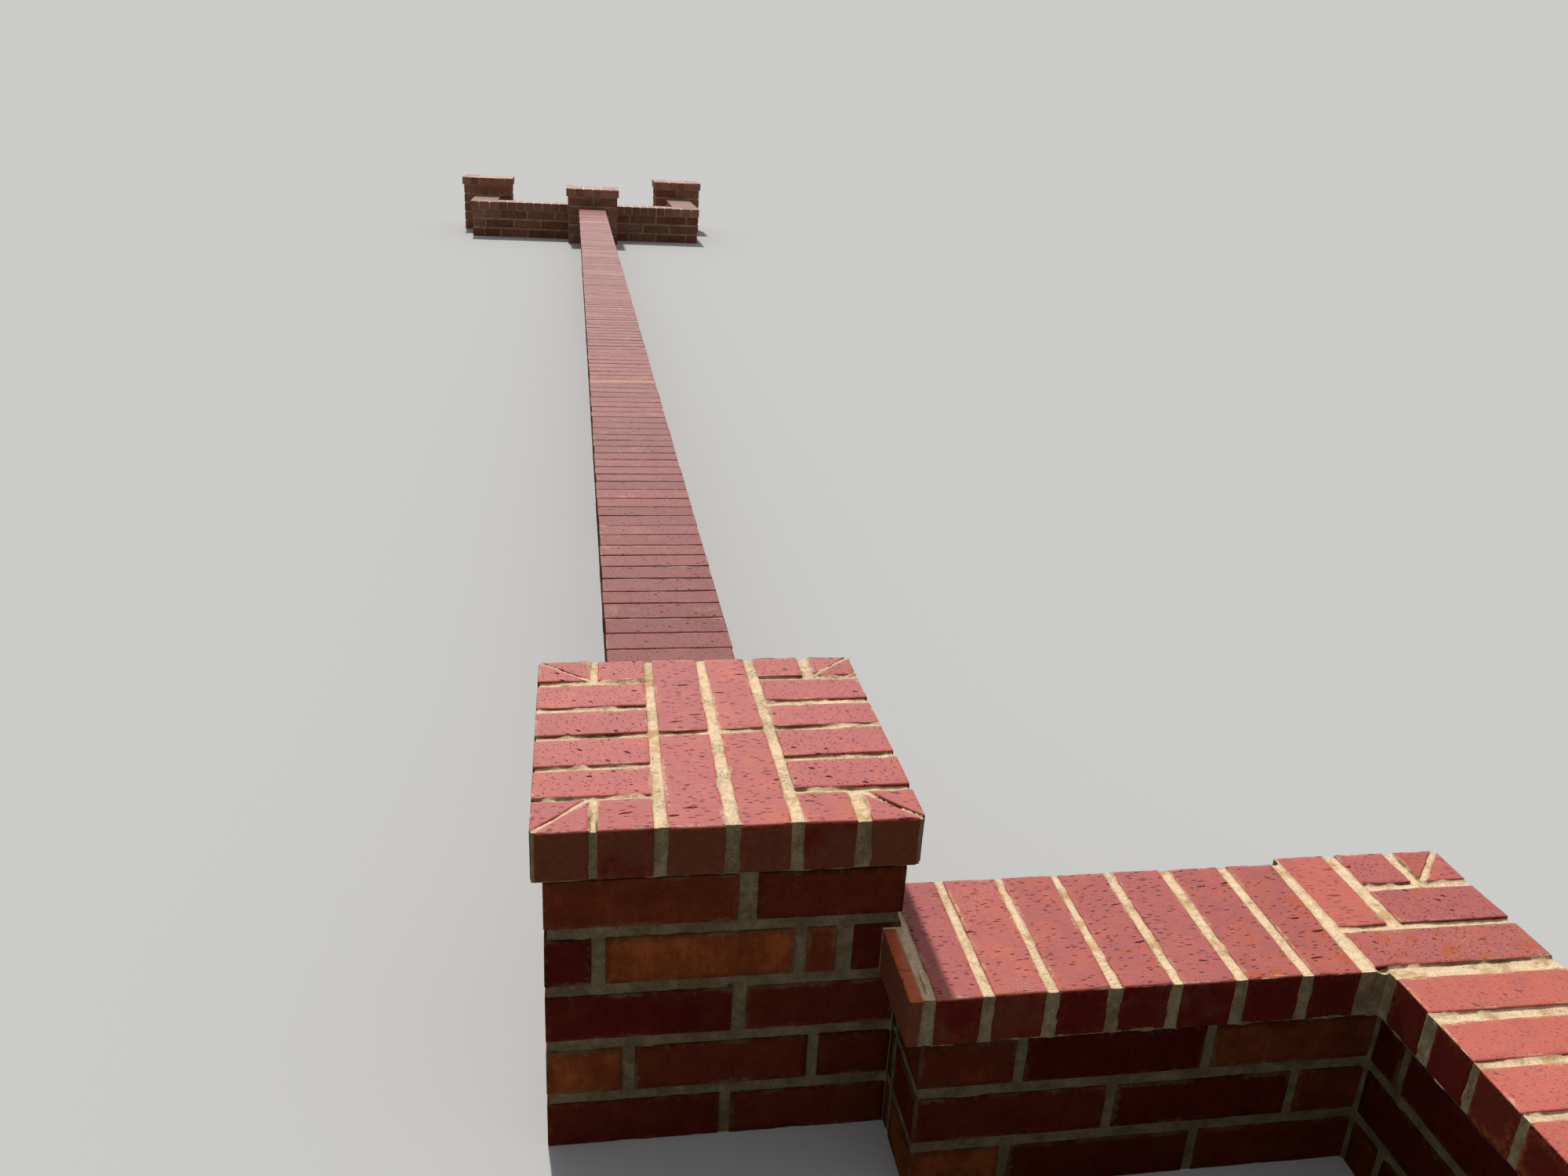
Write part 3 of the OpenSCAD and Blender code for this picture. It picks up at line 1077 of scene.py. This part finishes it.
class Shader:
    """The node tree of one material, or of the world."""

    def __init__(self, owner: bpy.types.Material | bpy.types.World) -> None:
        """Start with an empty tree."""
        self.owner = owner
        owner.use_nodes = True
        self.tree = owner.node_tree
        self.tree.nodes.clear()

    @classmethod
    def of(cls, name: str) -> Shader:
        """The tree of a new material."""
        return cls(bpy.data.materials.new(name))

    def node(
        self,
        kind: str,
        settings: dict | None = None,
        inputs: dict | None = None,
        out: int | str | None = 0,
    ) -> Wire | None:
        """Add a node.

        Args:
            kind: Its type.
            settings: Its properties.
            inputs: The values or links of its sockets, by number or name.
            out: Which of its outputs to give back; None where it has none.

        Returns:
            That output.
        """
        raw = self.tree.nodes.new(kind)
        for key, value in (settings or {}).items():
            setattr(raw, key, value)
        for key, value in (inputs or {}).items():
            if isinstance(value, Wire):
                self.tree.links.new(value.socket, raw.inputs[key])
            elif isinstance(value, tuple) and len(value) == 3 and raw.inputs[key].type == "RGBA":
                raw.inputs[key].default_value = (*value, 1.0)
            else:
                raw.inputs[key].default_value = value
        return None if out is None else Wire(self, raw.outputs[out])

    def vector(self, name: str) -> Wire:
        """A vector that the mesh keeps on its points."""
        return self.node("ShaderNodeAttribute", {"attribute_name": name}, out="Vector")

    def split(self, vector: Wire) -> tuple[Wire, Wire, Wire]:
        """A vector's three components."""
        first = self.node("ShaderNodeSeparateXYZ", None, {0: vector})
        return first, first.other(1), first.other(2)

    def scaled(self, vector: Wire, factors: Triple, shift: Wire) -> Wire:
        """A vector times three factors, plus another vector."""
        inputs = {0: vector, 1: factors, 2: shift}
        return self.node("ShaderNodeVectorMath", {"operation": "MULTIPLY_ADD"}, inputs)

    def noise(self, vector: Wire, scale: float, detail: float = 3.0, rough: float = 0.55) -> Wire:
        """Fractal noise, mostly from 0.3 to 0.7."""
        inputs = {"Vector": vector, "Scale": scale, "Detail": detail, "Roughness": rough}
        return self.node("ShaderNodeTexNoise", None, inputs)

    def cells(self, vector: Wire, scale: float, flat: bool = False) -> tuple[Wire, Wire]:
        """Scattered points: the distance to the nearest one and that point's own number."""
        settings = {"voronoi_dimensions": "2D" if flat else "3D"}
        distance = self.node("ShaderNodeTexVoronoi", settings, {"Vector": vector, "Scale": scale})
        return distance, self.split(distance.other(1))[0]

    def mix(self, factor: Wire | float, first: Wire | tuple, second: Wire | tuple) -> Wire:
        """Blend two colours."""
        inputs = {0: factor, 6: first, 7: second}
        return self.node("ShaderNodeMix", {"data_type": "RGBA"}, inputs, out=2)

    def layers(self, base: Wire | tuple, *coats: tuple[Wire | float, Wire | tuple]) -> Wire:
        """A colour with others laid over it one by one, each by its own factor."""
        for factor, colour in coats:
            base = self.mix(factor, base, colour)
        return base

    def tinted(self, colour: Wire, factor: Wire) -> Wire:
        """A colour times a number."""
        inputs = {0: colour, "Scale": factor}
        return self.node("ShaderNodeVectorMath", {"operation": "SCALE"}, inputs)

    def ramp(self, factor: Wire, stops: tuple[tuple[float, Triple], ...]) -> Wire:
        """A colour ramp."""
        made = self.node("ShaderNodeValToRGB", None, {0: factor})
        elements = made.socket.node.color_ramp.elements
        while len(elements) < len(stops):
            elements.new(0.5)
        for element, (position, colour) in zip(elements, stops):
            element.position = position
            element.color = (*colour, 1.0)
        return made

    def surface(
        self, colour: Wire | Triple, roughness: Wire | float, gloss: float, **more: Wire
    ) -> bpy.types.Material:
        """Close the tree with a Principled surface.

        Args:
            colour: Base colour.
            roughness: Roughness.
            gloss: Level of the mirror-like part, 0.5 for common glass.
            more: Its other inputs.

        Returns:
            The material.
        """
        inputs = {"Base Color": colour, "Roughness": roughness, "Specular IOR Level": gloss, **more}
        principled = self.node("ShaderNodeBsdfPrincipled", None, inputs)
        self.node("ShaderNodeOutputMaterial", None, {0: principled}, out=None)
        return self.owner

    def bump(self, height: Wire, relief: float) -> Wire:
        """A normal from a height, where 1 stands for the relief's full depth in metres."""
        inputs = {"Strength": 1.0, "Distance": relief, "Height": height}
        return self.node("ShaderNodeBump", None, inputs)


class BrickPlace:
    """Where a shaded point lies in its own brick, and that brick's mood.

    apart is a shift that differs from brick to brick, and even the place with that shift.
    """

    APART = (7.3, 5.1, 9.7)

    def __init__(self, shader: Shader) -> None:
        """Read the vectors that the brick keeps on its points."""
        self.place, half, self.mood = map(shader.vector, ("clay_place", "clay_half", "clay_mood"))
        self.shade, self.hue, self.patch = shader.split(self.mood)
        self.apart = shader.scaled(self.mood, self.APART, self.mood)
        self.even = shader.scaled(self.place, (1.0, 1.0, 1.0), self.apart)
        along, across, up = shader.split(self.place)
        half_along, half_across, half_up = shader.split(half)
        self.to_end = half_along - along.size()
        self.to_side = half_across - across.size()
        self.to_top = half_up - up
        self.to_bottom = half_up + up


class Pits(NamedTuple):
    """Ragged pits of one kind: how many to the metre, which cells have one, their size and edge."""

    scale: float
    chosen: Interval
    size: float
    ragged: float
    edge: float

    def drawn(self, shader: Shader, dragged: Wire, rag: Wire) -> Wire:
        """The pits, 1 inside and 0 outside."""
        distance, number = shader.cells(dragged, self.scale, flat=True)
        reach = number.step(*self.chosen) * self.size
        return (distance + (rag - 0.5) * self.ragged).step(reach, reach * self.edge)


@dataclass(frozen=True)
class CopingClay:
    """Wire-cut coping brick: salmon-pink tops with short dark drag marks, painted sheen and glints,
    and maroon sides that are partly painted shade.
    """

    salmon: Triple = (0.565, 0.151, 0.115)
    haze: Triple = (0.475, 0.136, 0.130)
    orange: Triple = (0.54, 0.120, 0.045)
    fleck: Triple = (0.78, 0.40, 0.36)
    pit: Triple = (0.050, 0.007, 0.006)
    rust: Triple = (0.230, 0.062, 0.018)
    maroon: Triple = (0.082, 0.006, 0.003)
    brown: Triple = (0.102, 0.029, 0.013)
    cream: Triple = (0.74, 0.52, 0.36)
    grey: Triple = (0.33, 0.25, 0.24)
    aged: Triple = (0.35, 0.160, 0.112)
    small: Pits = Pits(250.0, (0.34, 1.05), 0.25, 0.40, 0.82)
    large: Pits = Pits(62.0, (0.60, 1.10), 0.17, 0.26, 0.85)
    relief: float = 1.6 * MM
    gloss: float = 0.10

    def material(self) -> bpy.types.Material:
        """Build the material."""
        shader = Shader.of("coping_brick")
        at = BrickPlace(shader)
        shade, hue, patch, even = at.shade, at.hue, at.patch, at.even
        on_top = at.to_top.step(0.0026, 0.0008)
        mottle = shader.noise(even, 24.0, 4.0)
        region = shader.noise(even, 9.0, 1.0)
        grain = shader.noise(even, 900.0, 2.0)
        edge_noise = shader.noise(even, 130.0, 4.0)
        # Far-end bricks: greyer tops and lighter sides, partly weathering and partly painted light.
        weathered_and_lit = hue.step(1.5, 2.3)

        # Marks that the wire left: pits, streaks and a fine rag.
        dragged = shader.vector("clay_drag")
        rag = shader.noise(dragged, 900.0)
        small, large = (pits.drawn(shader, dragged, rag) for pits in (self.small, self.large))
        pits = (small * 0.9).most(large) * on_top
        streak = shader.noise(shader.scaled(dragged, (1.0, 0.4, 1.0), at.mood), 520.0)
        streaks = streak.step(0.56, 0.72)

        # The top: glazed orange patches, painted glints of light, and mortar smeared along the
        # joints.
        plain = patch.step(0.985, 0.990)
        glazed = region.step(0.50, 0.60) * patch.step(0.30, 0.60)
        glaze = (shader.noise(even, 34.0).step(0.56, 0.61) * glazed).most(plain)
        bare = 1 - glaze
        # Painted highlights: pale pink glints on a few bricks' tops, where the light would catch
        # them.
        glint_spots = shader.noise(even, 380.0).step(0.54, 0.63) * patch.step(0.85, 0.93)
        painted_glints = glint_spots * region.step(0.42, 0.56) * bare
        pitted = (0.40 + hue.step(-0.1, 0.5) * 0.55) * (1 - plain * 0.7)
        to_side = at.to_end.least(at.to_side)
        smeared = shader.noise(even, 17.0, 1.0).step(0.52, 0.62) * (1 - plain)
        film = to_side.step(0.010, 0.0005) * edge_noise.step(0.46, 0.66) * smeared
        smear = (to_side + (edge_noise - 0.60) * 0.020).step(0.0010, 0.0002) * smeared
        top = shader.layers(
            self.salmon,
            # A rosier tone by mottle and hue: partly the brick's own tone, partly painted sheen of
            # the sky.
            ((mottle + hue * 0.30).step(0.42, 0.82), self.haze),
            (weathered_and_lit * 0.75, self.grey),
            (glaze * 0.75 + plain * 0.2, self.orange),
            # Painted highlight: pale streaks among the drag marks.
            (streak.step(0.44, 0.32) * bare * 0.12, self.fleck),
            (painted_glints * 0.50, self.fleck),
            (streaks * bare * 0.14, self.pit),
            (rag.step(0.41, 0.33) * bare * 0.32, self.pit),
            (pits * pitted, self.pit),
            (film * 0.22, self.cream),
            (smear * 0.5, self.cream),
        )

        # The sides: maroon to brown, with specks and rusty rims; darker than the tops, partly as
        # the brick's own fired faces and partly as painted shade.
        browner = (mottle * 0.9 + shade * 0.5).step(0.70, 1.00) * hue.step(-0.3, 0.8)
        to_arris = at.to_end.most(at.to_side).least(at.to_top).least(at.to_bottom)
        rim = to_arris.step(0.020, 0.002) * edge_noise.step(0.38, 0.62)
        side = shader.layers(
            self.maroon,
            (browner, self.brown),
            (shader.cells(even, 260.0)[0].step(0.16, 0.08) * 0.5, self.pit),
            (rim * region.step(0.42, 0.60) * (0.12 + hue.step(0.6, 0.0) * 0.5), self.rust),
            (weathered_and_lit * (0.35 + mottle * 0.6), self.aged),
        )

        worn = (at.to_top + to_side.most(0.0)).step(0.0050, 0.0016) * edge_noise.step(0.35, 0.6)
        colour = shader.layers(side, (on_top, top), (worn * 0.35, self.orange))
        light = 0.90 + shade * 0.20 + (grain - 0.5) * 0.26
        light = light + (1 - on_top) * (edge_noise - 0.5) * 0.7
        roughness = 0.52 + pits * 0.3 - glaze * 0.14 + (grain - 0.5) * 0.3 + mottle * 0.1
        roughness = roughness + (1 - on_top) * 0.45
        height = 0.8 - pits * 0.62 - streaks * 0.10 + (grain - 0.5) * 0.16 + (mottle - 0.5) * 0.3
        bump = shader.bump(height + painted_glints * 0.12, self.relief)
        return shader.surface(shader.tinted(colour, light), roughness, self.gloss, Normal=bump)


@dataclass(frozen=True)
class WallClay:
    """Facing brick of the piers and walls: from deep maroon to orange brown, brick by brick."""

    tones: tuple[tuple[float, Triple], ...] = (
        (0.0, (0.072, 0.008, 0.006)),
        (0.35, (0.095, 0.017, 0.008)),
        (0.62, (0.118, 0.025, 0.010)),
        (0.85, (0.165, 0.042, 0.013)),
        (1.0, (0.245, 0.062, 0.018)),
    )
    dark: Triple = (0.040, 0.008, 0.006)
    film: Triple = (0.17, 0.12, 0.06)
    algae: Triple = (0.33, 0.180, 0.118)
    relief: float = 1.2 * MM
    gloss: float = 0.0

    def material(self) -> bpy.types.Material:
        """Build the material."""
        shader = Shader.of("wall_brick")
        at = BrickPlace(shader)
        even, hue = at.even, at.hue
        mottle = shader.noise(even, 24.0, 4.0)
        brushed = shader.noise(shader.scaled(at.place, (1.0, 1.0, 0.16), at.apart), 190.0, 4.0)
        grain = shader.noise(even, 800.0, 2.0)
        edge_noise = shader.noise(even, 95.0, 4.0)
        distance, number = shader.cells(even, 150.0)
        specks = distance.step(0.20, 0.10) * number.step(0.55, 0.6)
        tone = at.shade + (mottle - 0.5) * 0.9 + (brushed - 0.5) * 0.25

        # A point's second smallest distance to a face is its distance to an arris.
        up_or_down = at.to_top.least(at.to_bottom)
        to_arris = up_or_down.least(at.to_end.most(at.to_side)).most(at.to_end.least(at.to_side))
        rim = to_arris.step(0.012, 0.001)
        smeared = shader.noise(even, 15.0, 1.0).step(0.48, 0.62)
        smear = (to_arris + (edge_noise - 0.60) * 0.030).step(0.0022, 0.0008) * smeared
        film = (rim * edge_noise.step(0.50, 0.66) * 0.20).most(smear * 0.4)
        colour = shader.layers(
            shader.ramp(tone, self.tones),
            (specks * 0.7, self.dark),
            (rim * 0.5 * at.patch.step(0.2, 0.7), self.dark),
            (film, self.film),
            (hue.step(1.0, 2.4) * (0.15 + mottle * 0.7), self.algae),
        )
        # hue sets a wall brick's lightness: low hues on the near bed's walls are painted shade,
        # high ones at the far end painted light with the weathering.
        light = 0.92 + hue * 0.16 + (grain - 0.5) * 0.3 + (edge_noise - 0.5) * 0.5
        height = 0.7 - specks * 0.5 + (grain - 0.5) * 0.2 + (brushed - 0.5) * 0.4
        bump = shader.bump(height + (mottle - 0.5) * 0.3, self.relief)
        roughness = 0.92 + (grain - 0.5) * 0.15
        return shader.surface(shader.tinted(colour, light), roughness, self.gloss, Normal=bump)


@dataclass(frozen=True)
class LimeMortar:
    """Cream mortar with sand in it, stained tan, and darker olive grey on upright faces: partly
    damp, partly painted shade.
    """

    cream: Triple = (1.0, 0.76, 0.50)
    tan: Triple = (0.70, 0.45, 0.23)
    olive: Triple = (0.27, 0.215, 0.120)
    damp: Triple = (0.17, 0.130, 0.066)
    dirt: Triple = (0.40, 0.255, 0.135)
    sand: Triple = (0.40, 0.225, 0.092)
    relief: float = 2.2 * MM
    gloss: float = 0.1

    def material(self) -> bpy.types.Material:
        """Build the material."""
        shader = Shader.of("mortar")
        at = shader.node("ShaderNodeTexCoord", out="Object")
        upward = shader.split(shader.node("ShaderNodeNewGeometry", out="True Normal"))[2]
        on_top = upward.step(0.55, 0.85)
        beside, damp, sandy = shader.split(shader.vector("mortar_stain"))
        stain = shader.noise(at, 26.0, 5.0, 0.65)
        grit = shader.noise(at, 330.0, 4.0, 0.75)
        lumps = shader.noise(at, 130.0)
        rough = sandy * shader.noise(at, 15.0, 1.0).step(0.46, 0.58)
        grains, number = shader.cells(at, 300.0)
        dark_sand = grains.step(0.40, 0.24) * number.step(0.50, 0.56)
        pores = grit.step(0.43, 0.33)
        upper = shader.mix(stain.step(0.49, 0.68), self.cream, self.tan)
        # Upright faces get darker olive copies of the mortar: partly damp, partly painted shade.
        lower = shader.mix(stain.step(0.40, 0.62), self.olive, self.damp)
        # Mortar close to a brick's edge is darker: dark olive on upright faces, brown on top.
        near_brick = beside.step(-0.0032, -0.0002) * (0.2 + grit.step(0.40, 0.60) * 0.7)
        # damp darkens upright faces further as painted shade; where it is negative it lightens them
        # as painted light.
        colour = shader.layers(
            shader.tinted(lower, 1 - damp * 0.26),
            (on_top, upper),
            (near_brick * 0.55, shader.mix(on_top, self.damp, self.dirt)),
            (dark_sand * (0.14 + rough * 0.26), self.sand),
            (pores * (0.10 + rough * 0.22), self.sand),
        )
        light = 0.95 + (grit - 0.5) * 0.4 + (lumps - 0.5) * 0.6
        height = 0.5 + (grit - 0.5) * (0.5 + rough * 0.6) + (lumps - 0.5) * (0.5 + rough * 0.5)
        bump = shader.bump(height - pores * (0.1 + rough * 0.5), self.relief)
        roughness = 0.95 + stain * 0.04
        return shader.surface(shader.tinted(colour, light), roughness, self.gloss, Normal=bump)


class Lamp(NamedTuple):
    """A distant lamp beyond the far end: its strength, and in degrees its angles and its width.

    height is the angle above level, and turn the one from the wall's line, positive from the path
    side.
    """

    strength: float
    height: float
    turn: float
    width: float


@dataclass(frozen=True)
class Studio:
    """The camera at the photograph's viewpoint, light from the far end and a pale floor.

    The viewpoint is measured from the near cap's top corner at low X and low Y, in metres, and the
    angles are the camera's pitch below level, its turn to the right and its roll, in radians.
    """

    offset: Triple = (0.0581595, -1.3034894, 0.8135493)
    pitch: float = 0.3657
    turn: float = 0.1756
    roll: float = 0.0543
    focal_pixels: float = 1602.8921
    frame_pixels: float = 2000.0
    sensor: float = 36.0
    far_clip: float = 200.0
    key: Lamp = Lamp(3.0, 47.0, 6.0, 2.5)
    sheen: Lamp = Lamp(0.75, 16.0, 2.0, 35.0)
    sunlight: Triple = (1.0, 0.965, 0.91)
    sky: float = 0.30
    sky_light: Triple = (0.93, 0.97, 1.0)
    sky_seen: Triple = (0.600, 0.597, 0.584)
    floor_colour: Triple = (0.58, 0.585, 0.59)
    floor_reach: float = 150.0

    def place_camera(self, corner: Vector) -> None:
        """Set the camera by its viewpoint, focal length and the three angles."""
        x, y, flat = math.sin(self.turn), math.cos(self.turn), math.cos(self.pitch)
        forward = Vector((x * flat, y * flat, -math.sin(self.pitch)))
        level = Vector((y, -x, 0.0))
        upright = level.cross(forward)
        right = level * math.cos(self.roll) + upright * math.sin(self.roll)
        up = upright * math.cos(self.roll) - level * math.sin(self.roll)
        lens = bpy.data.cameras.new("camera")
        lens.sensor_fit = "HORIZONTAL"
        lens.sensor_width = self.sensor
        lens.lens = self.focal_pixels * self.sensor / self.frame_pixels
        lens.clip_end = self.far_clip
        camera = bpy.data.objects.new("camera", lens)
        turn = Matrix((right, up, -forward)).transposed().to_4x4()
        camera.matrix_world = Matrix.Translation(corner + Vector(self.offset)) @ turn
        bpy.context.scene.collection.objects.link(camera)
        bpy.context.scene.camera = camera

    def place_lamp(self, name: str, lamp: Lamp) -> None:
        """Put up one of the lamps."""
        light = bpy.data.lights.new(name, "SUN")
        light.energy = lamp.strength
        light.angle = math.radians(lamp.width)
        light.color = self.sunlight
        placed = bpy.data.objects.new(name, light)
        lean = Matrix.Rotation(math.radians(-(90.0 - lamp.height)), 4, "X")
        placed.matrix_world = Matrix.Rotation(math.radians(lamp.turn), 4, "Z") @ lean
        bpy.context.scene.collection.objects.link(placed)

    def light(self) -> None:
        """A key lamp, a low broad one whose sheen the tops give back, and an even pale sky."""
        self.place_lamp("key", self.key)
        self.place_lamp("sheen", self.sheen)
        world = bpy.data.worlds.new("sky")
        shader = Shader(world)
        even = shader.node("ShaderNodeBackground", None, {0: self.sky_light, 1: self.sky})
        seen = shader.node("ShaderNodeBackground", None, {0: self.sky_seen})
        camera = shader.node("ShaderNodeLightPath", out="Is Camera Ray")
        glossy, through = (camera.other(f"Is {kind} Ray") for kind in ("Glossy", "Transmission"))
        factor = camera.most(glossy).most(through)
        mixed = shader.node("ShaderNodeMixShader", None, {0: factor, 1: even, 2: seen})
        shader.node("ShaderNodeOutputWorld", None, {0: mixed}, out=None)
        bpy.context.scene.world = world

    def floor(self) -> None:
        """A plain pale floor at ground level."""
        across = (-self.floor_reach, self.floor_reach)
        points = np.array([(x, y, 0) for x, y in rectangle(across, across)])
        finish = Shader.of("floor").surface(self.floor_colour, roughness=1.0, gloss=0.0)
        ground = mesh_object("floor", points, np.array([[0, 1, 2, 3]]), finish, smooth=False)

    def build(self, corner: Vector) -> None:
        """Set up all of it."""
        bpy.context.scene.view_settings.view_transform = "Standard"
        self.place_camera(corner)
        self.light()
        self.floor()


def metres(*values: float) -> tuple[float, ...]:
    """Lengths in metres from lengths in millimetres."""
    return tuple(value * MM for value in values)


def spans(*pairs: Interval) -> tuple[Interval, ...]:
    """Spans in metres from spans in millimetres."""
    return tuple(metres(*pair) for pair in pairs)


class NearEnd:
    """What the photograph shows of the near end: what its pieces have of their own, by name."""

    PLAIN_PIER = {"damp": 1.0}
    # High hues give the caps' tops more of the rosier tone with its painted sheen.
    PLAIN_CAP = {"hues": (0.6, 1.3)}
    PIER = {
        **PLAIN_PIER,
        "holes": ((Face.FRONT, 0.244, 0.240, 0.008),),
        "fronts": (
            spans((0, 242), (266, 457)),
            spans((0, 59), (76, 318), (333, 372), (394, 457)),
            spans((0, 239), (258, 457)),
            spans((0, 98), (114, 344), (358, 457)),
            spans((0, 228), (242, 457)),
        ),
        "moods": {
            (0, 0): (0.58, 0.5, 0.3),
            (0, 1): (0.45, 0.2, 0.8),
            (1, 0): (0.10, 0.4, 0.6),
            (1, 1): (0.90, 0.9, 0.9),
            (1, 2): (0.66, 0.5, 0.2),
            (1, 3): (0.22, 0.3, 0.4),
            (2, 0): (0.12, 0.3, 0.3),
            (2, 1): (0.30, 0.5, 0.2),
            (3, 1): (0.50, 0.5, 0.5),
            (4, 0): (0.28, 0.4, 0.2),
            (4, 1): (0.40, 0.6, 0.6),
        },
    }
    CAP = {
        **PLAIN_CAP,
        "columns": (
            metres(0, 70, 80, 148, 164, 235, 253, 317, 332, 398, 417, 485),
            metres(0, 79, 90, 161, 173, 241, 254, 315, 330, 401, 419, 485),
        ),
        "rows": (
            metres(0, 73, 80, 146, 158, 230, 243, 313, 327, 402, 415, 485),
            metres(0, 70, 84, 157, 173, 248, 259, 324, 340, 408, 421, 485),
        ),
        "right_mitre": BOND.wide_mitre,
        "sandy": 1.0,
        "holes": ((Face.TOP, 0.455, 0.034, 0.004),),
    }
    # Painted shade: the near bed's walls, under their copings, get darker bricks and darker mortar.
    SOIL = {"damp": 1.6, "hues": (-1.6, -0.6)}
    BED = {
        "wing_wall": SOIL,
        "return_wall": SOIL,
        "wing_coping": {
            "near": spans(
                (8, 66), (81, 149), (162, 230), (244, 312), (324, 395), (411, 486), (501, 567)
            ),
            "far": spans(
                (8, 71), (82, 157), (166, 240), (249, 317), (331, 400), (414, 489), (503, 575)
            ),
            "moods": (
                (0.7, 0.9, 0.10),
                (0.9, 0.5, 0.95),
                (0.5, 0.5, 0.20),
                (0.5, 0.7, 0.62),
                (0.6, 0.9, 0.15),
                (0.3, 0.6, 0.80),
                (0.2, 0.5, 0.75),
            ),
        },
        "corner_coping": {"holes": ((Face.TOP, 0.011, 0.008, 0.006),)},
        "return_coping": {
            "last": spans((629, 697), (710, 778), (790, 856), (873, 938)),
            "rest": 8,
            "shades": (0.8, 1.4),
            "hues": (-0.2, 0.2),
            "damp": -1.4,
        },
        "closer_brick": {},
    }


class FarEnd:
    """How the far end's walls and copings differ, by the names of a bed's pieces: greyer and
    lighter, partly weathered and partly painted light from the lawn.
    """

    PIER = {"damp": -1.5, "hues": (1.6, 2.2)}
    CAP = {"damp": -1.0, "hues": (1.9, 2.4)}
    COPING = {**CAP, "shades": (0.0, 0.8), "patches": (0.0, 0.48)}
    BED = {
        "wing_wall": PIER,
        "return_wall": PIER,
        "wing_coping": COPING,
        "corner_coping": COPING,
        "return_coping": COPING,
        "closer_brick": {},
    }


class Garden:
    """All the masonry of the wall, bed by bed, with which way each bed's axes are flipped."""

    BEDS = {"near": (False, False), "lawn": (False, True), "path": (True, True)}

    def __init__(self) -> None:
        """Start with nothing laid."""
        self.pieces: list[Masonry] = []

    def add(
        self, kind: type[Masonry], node: str, detail: Detail, flips: Flips, **own: object
    ) -> None:
        """Set out one piece in its node's box, with random numbers of its own."""
        rng = np.random.default_rng(FIRST_SEED + len(self.pieces))
        piece = kind(node, Setout.of(node, *flips), rng, detail, **own)
        piece.set_out()
        self.pieces.append(piece)

    def lay_piers(self) -> None:
        """The five piers and their caps; all but the near one are laid by the usual pattern."""
        known = (NearEnd.PIER, NearEnd.CAP, Detail.MIDDLE, Detail.CLOSE)
        plain = (NearEnd.PLAIN_PIER, NearEnd.PLAIN_CAP, Detail.FAR, Detail.FAR)
        aged = (FarEnd.PIER, FarEnd.CAP, Detail.FAR, Detail.FAR)
        for end, flip_y, (pier, cap, pier_detail, cap_detail) in (
            ("near", False, known),
            ("far", True, aged),
            ("near_end", False, plain),
            ("lawn_end", True, aged),
            ("path_end", True, aged),
        ):
            self.add(Pier, f"{end}_pier", pier_detail, (False, flip_y), **pier)
            self.add(PierCap, f"{end}_pier_cap", cap_detail, (False, flip_y), **cap)

    def lay_main(self) -> None:
        """The long wall and its coping."""
        flips = self.BEDS["near"]
        self.add(Wall, "main_wall", Detail.FAR, flips, shows=SIDES, damp=1.0, along_t=True)
        self.add(
            Coping,
            "main_coping",
            Detail.FAR,
            flips,
            recess=2.2 * MM,
            shows=(*SIDES, Face.TOP),
            # Darker bricks on the long coping: partly their own tone, partly painted shade.
            shades=(-1.8, -0.9),
            hues=(0.9, 1.6),
            along_t=True,
            joint=BOND.main_joint,
            spread=4.5 * MM,
        )

    def lay_bed(self, bed: str) -> None:
        """A wing, its mitred corner, its return wall and the closer in front of the pier."""
        flip_x, flip_y = flips = self.BEDS[bed]
        near = bed == "near"
        own = NearEnd.BED if near else FarEnd.BED
        inner, outer = SIDES[::-1] if flip_x else SIDES
        back = Face.FRONT if flip_y else Face.BACK
        walls = {"shows": (*ENDS, *SIDES), "end_shows": True}
        wings = {"recess": 2.0 * MM, "shows": (*ENDS, Face.TOP)}
        returns = {"recess": 3.2 * MM, "shows": (*SIDES, Face.TOP), "along_t": True}
        for kind, part, detail, shared in (
            (Wall, "wing_wall", Detail.MIDDLE, walls),
            (Wall, "return_wall", Detail.COARSE, {"shows": SIDES, "along_t": True}),
            (Coping, "wing_coping", Detail.CLOSE, wings),
            (MitredCorner, "corner_coping", Detail.CLOSE, {"shows": (outer, back, Face.TOP)}),
            (Coping, "return_coping", Detail.CLOSE, returns),
            (Closer, "closer_brick", Detail.CLOSE, {"shows": (inner, *ENDS, Face.TOP)}),
        ):
            detail = detail if near else Detail.FAR
            self.add(kind, f"{bed}_{part}", detail, flips, **shared, **own[part])

    def build(self, finishes: dict[str, bpy.types.Material]) -> None:
        """Set out every piece and build it."""
        self.lay_piers()
        self.lay_main()
        for bed in self.BEDS:
            self.lay_bed(bed)
        for piece in self.pieces:
            piece.meet(self.pieces)
            piece.build(finishes)


def main() -> None:
    """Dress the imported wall."""
    logging.basicConfig(level=logging.INFO, format="%(name)s: %(message)s")
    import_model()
    finishes = {
        "coping_brick": CopingClay().material(),
        "wall_brick": WallClay().material(),
        "mortar": LimeMortar().material(),
    }
    low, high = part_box("near_pier_cap")
    Studio().build(Vector((low.x, low.y, high.z)))
    Garden().build(finishes)


if __name__ == "__main__":
    main()
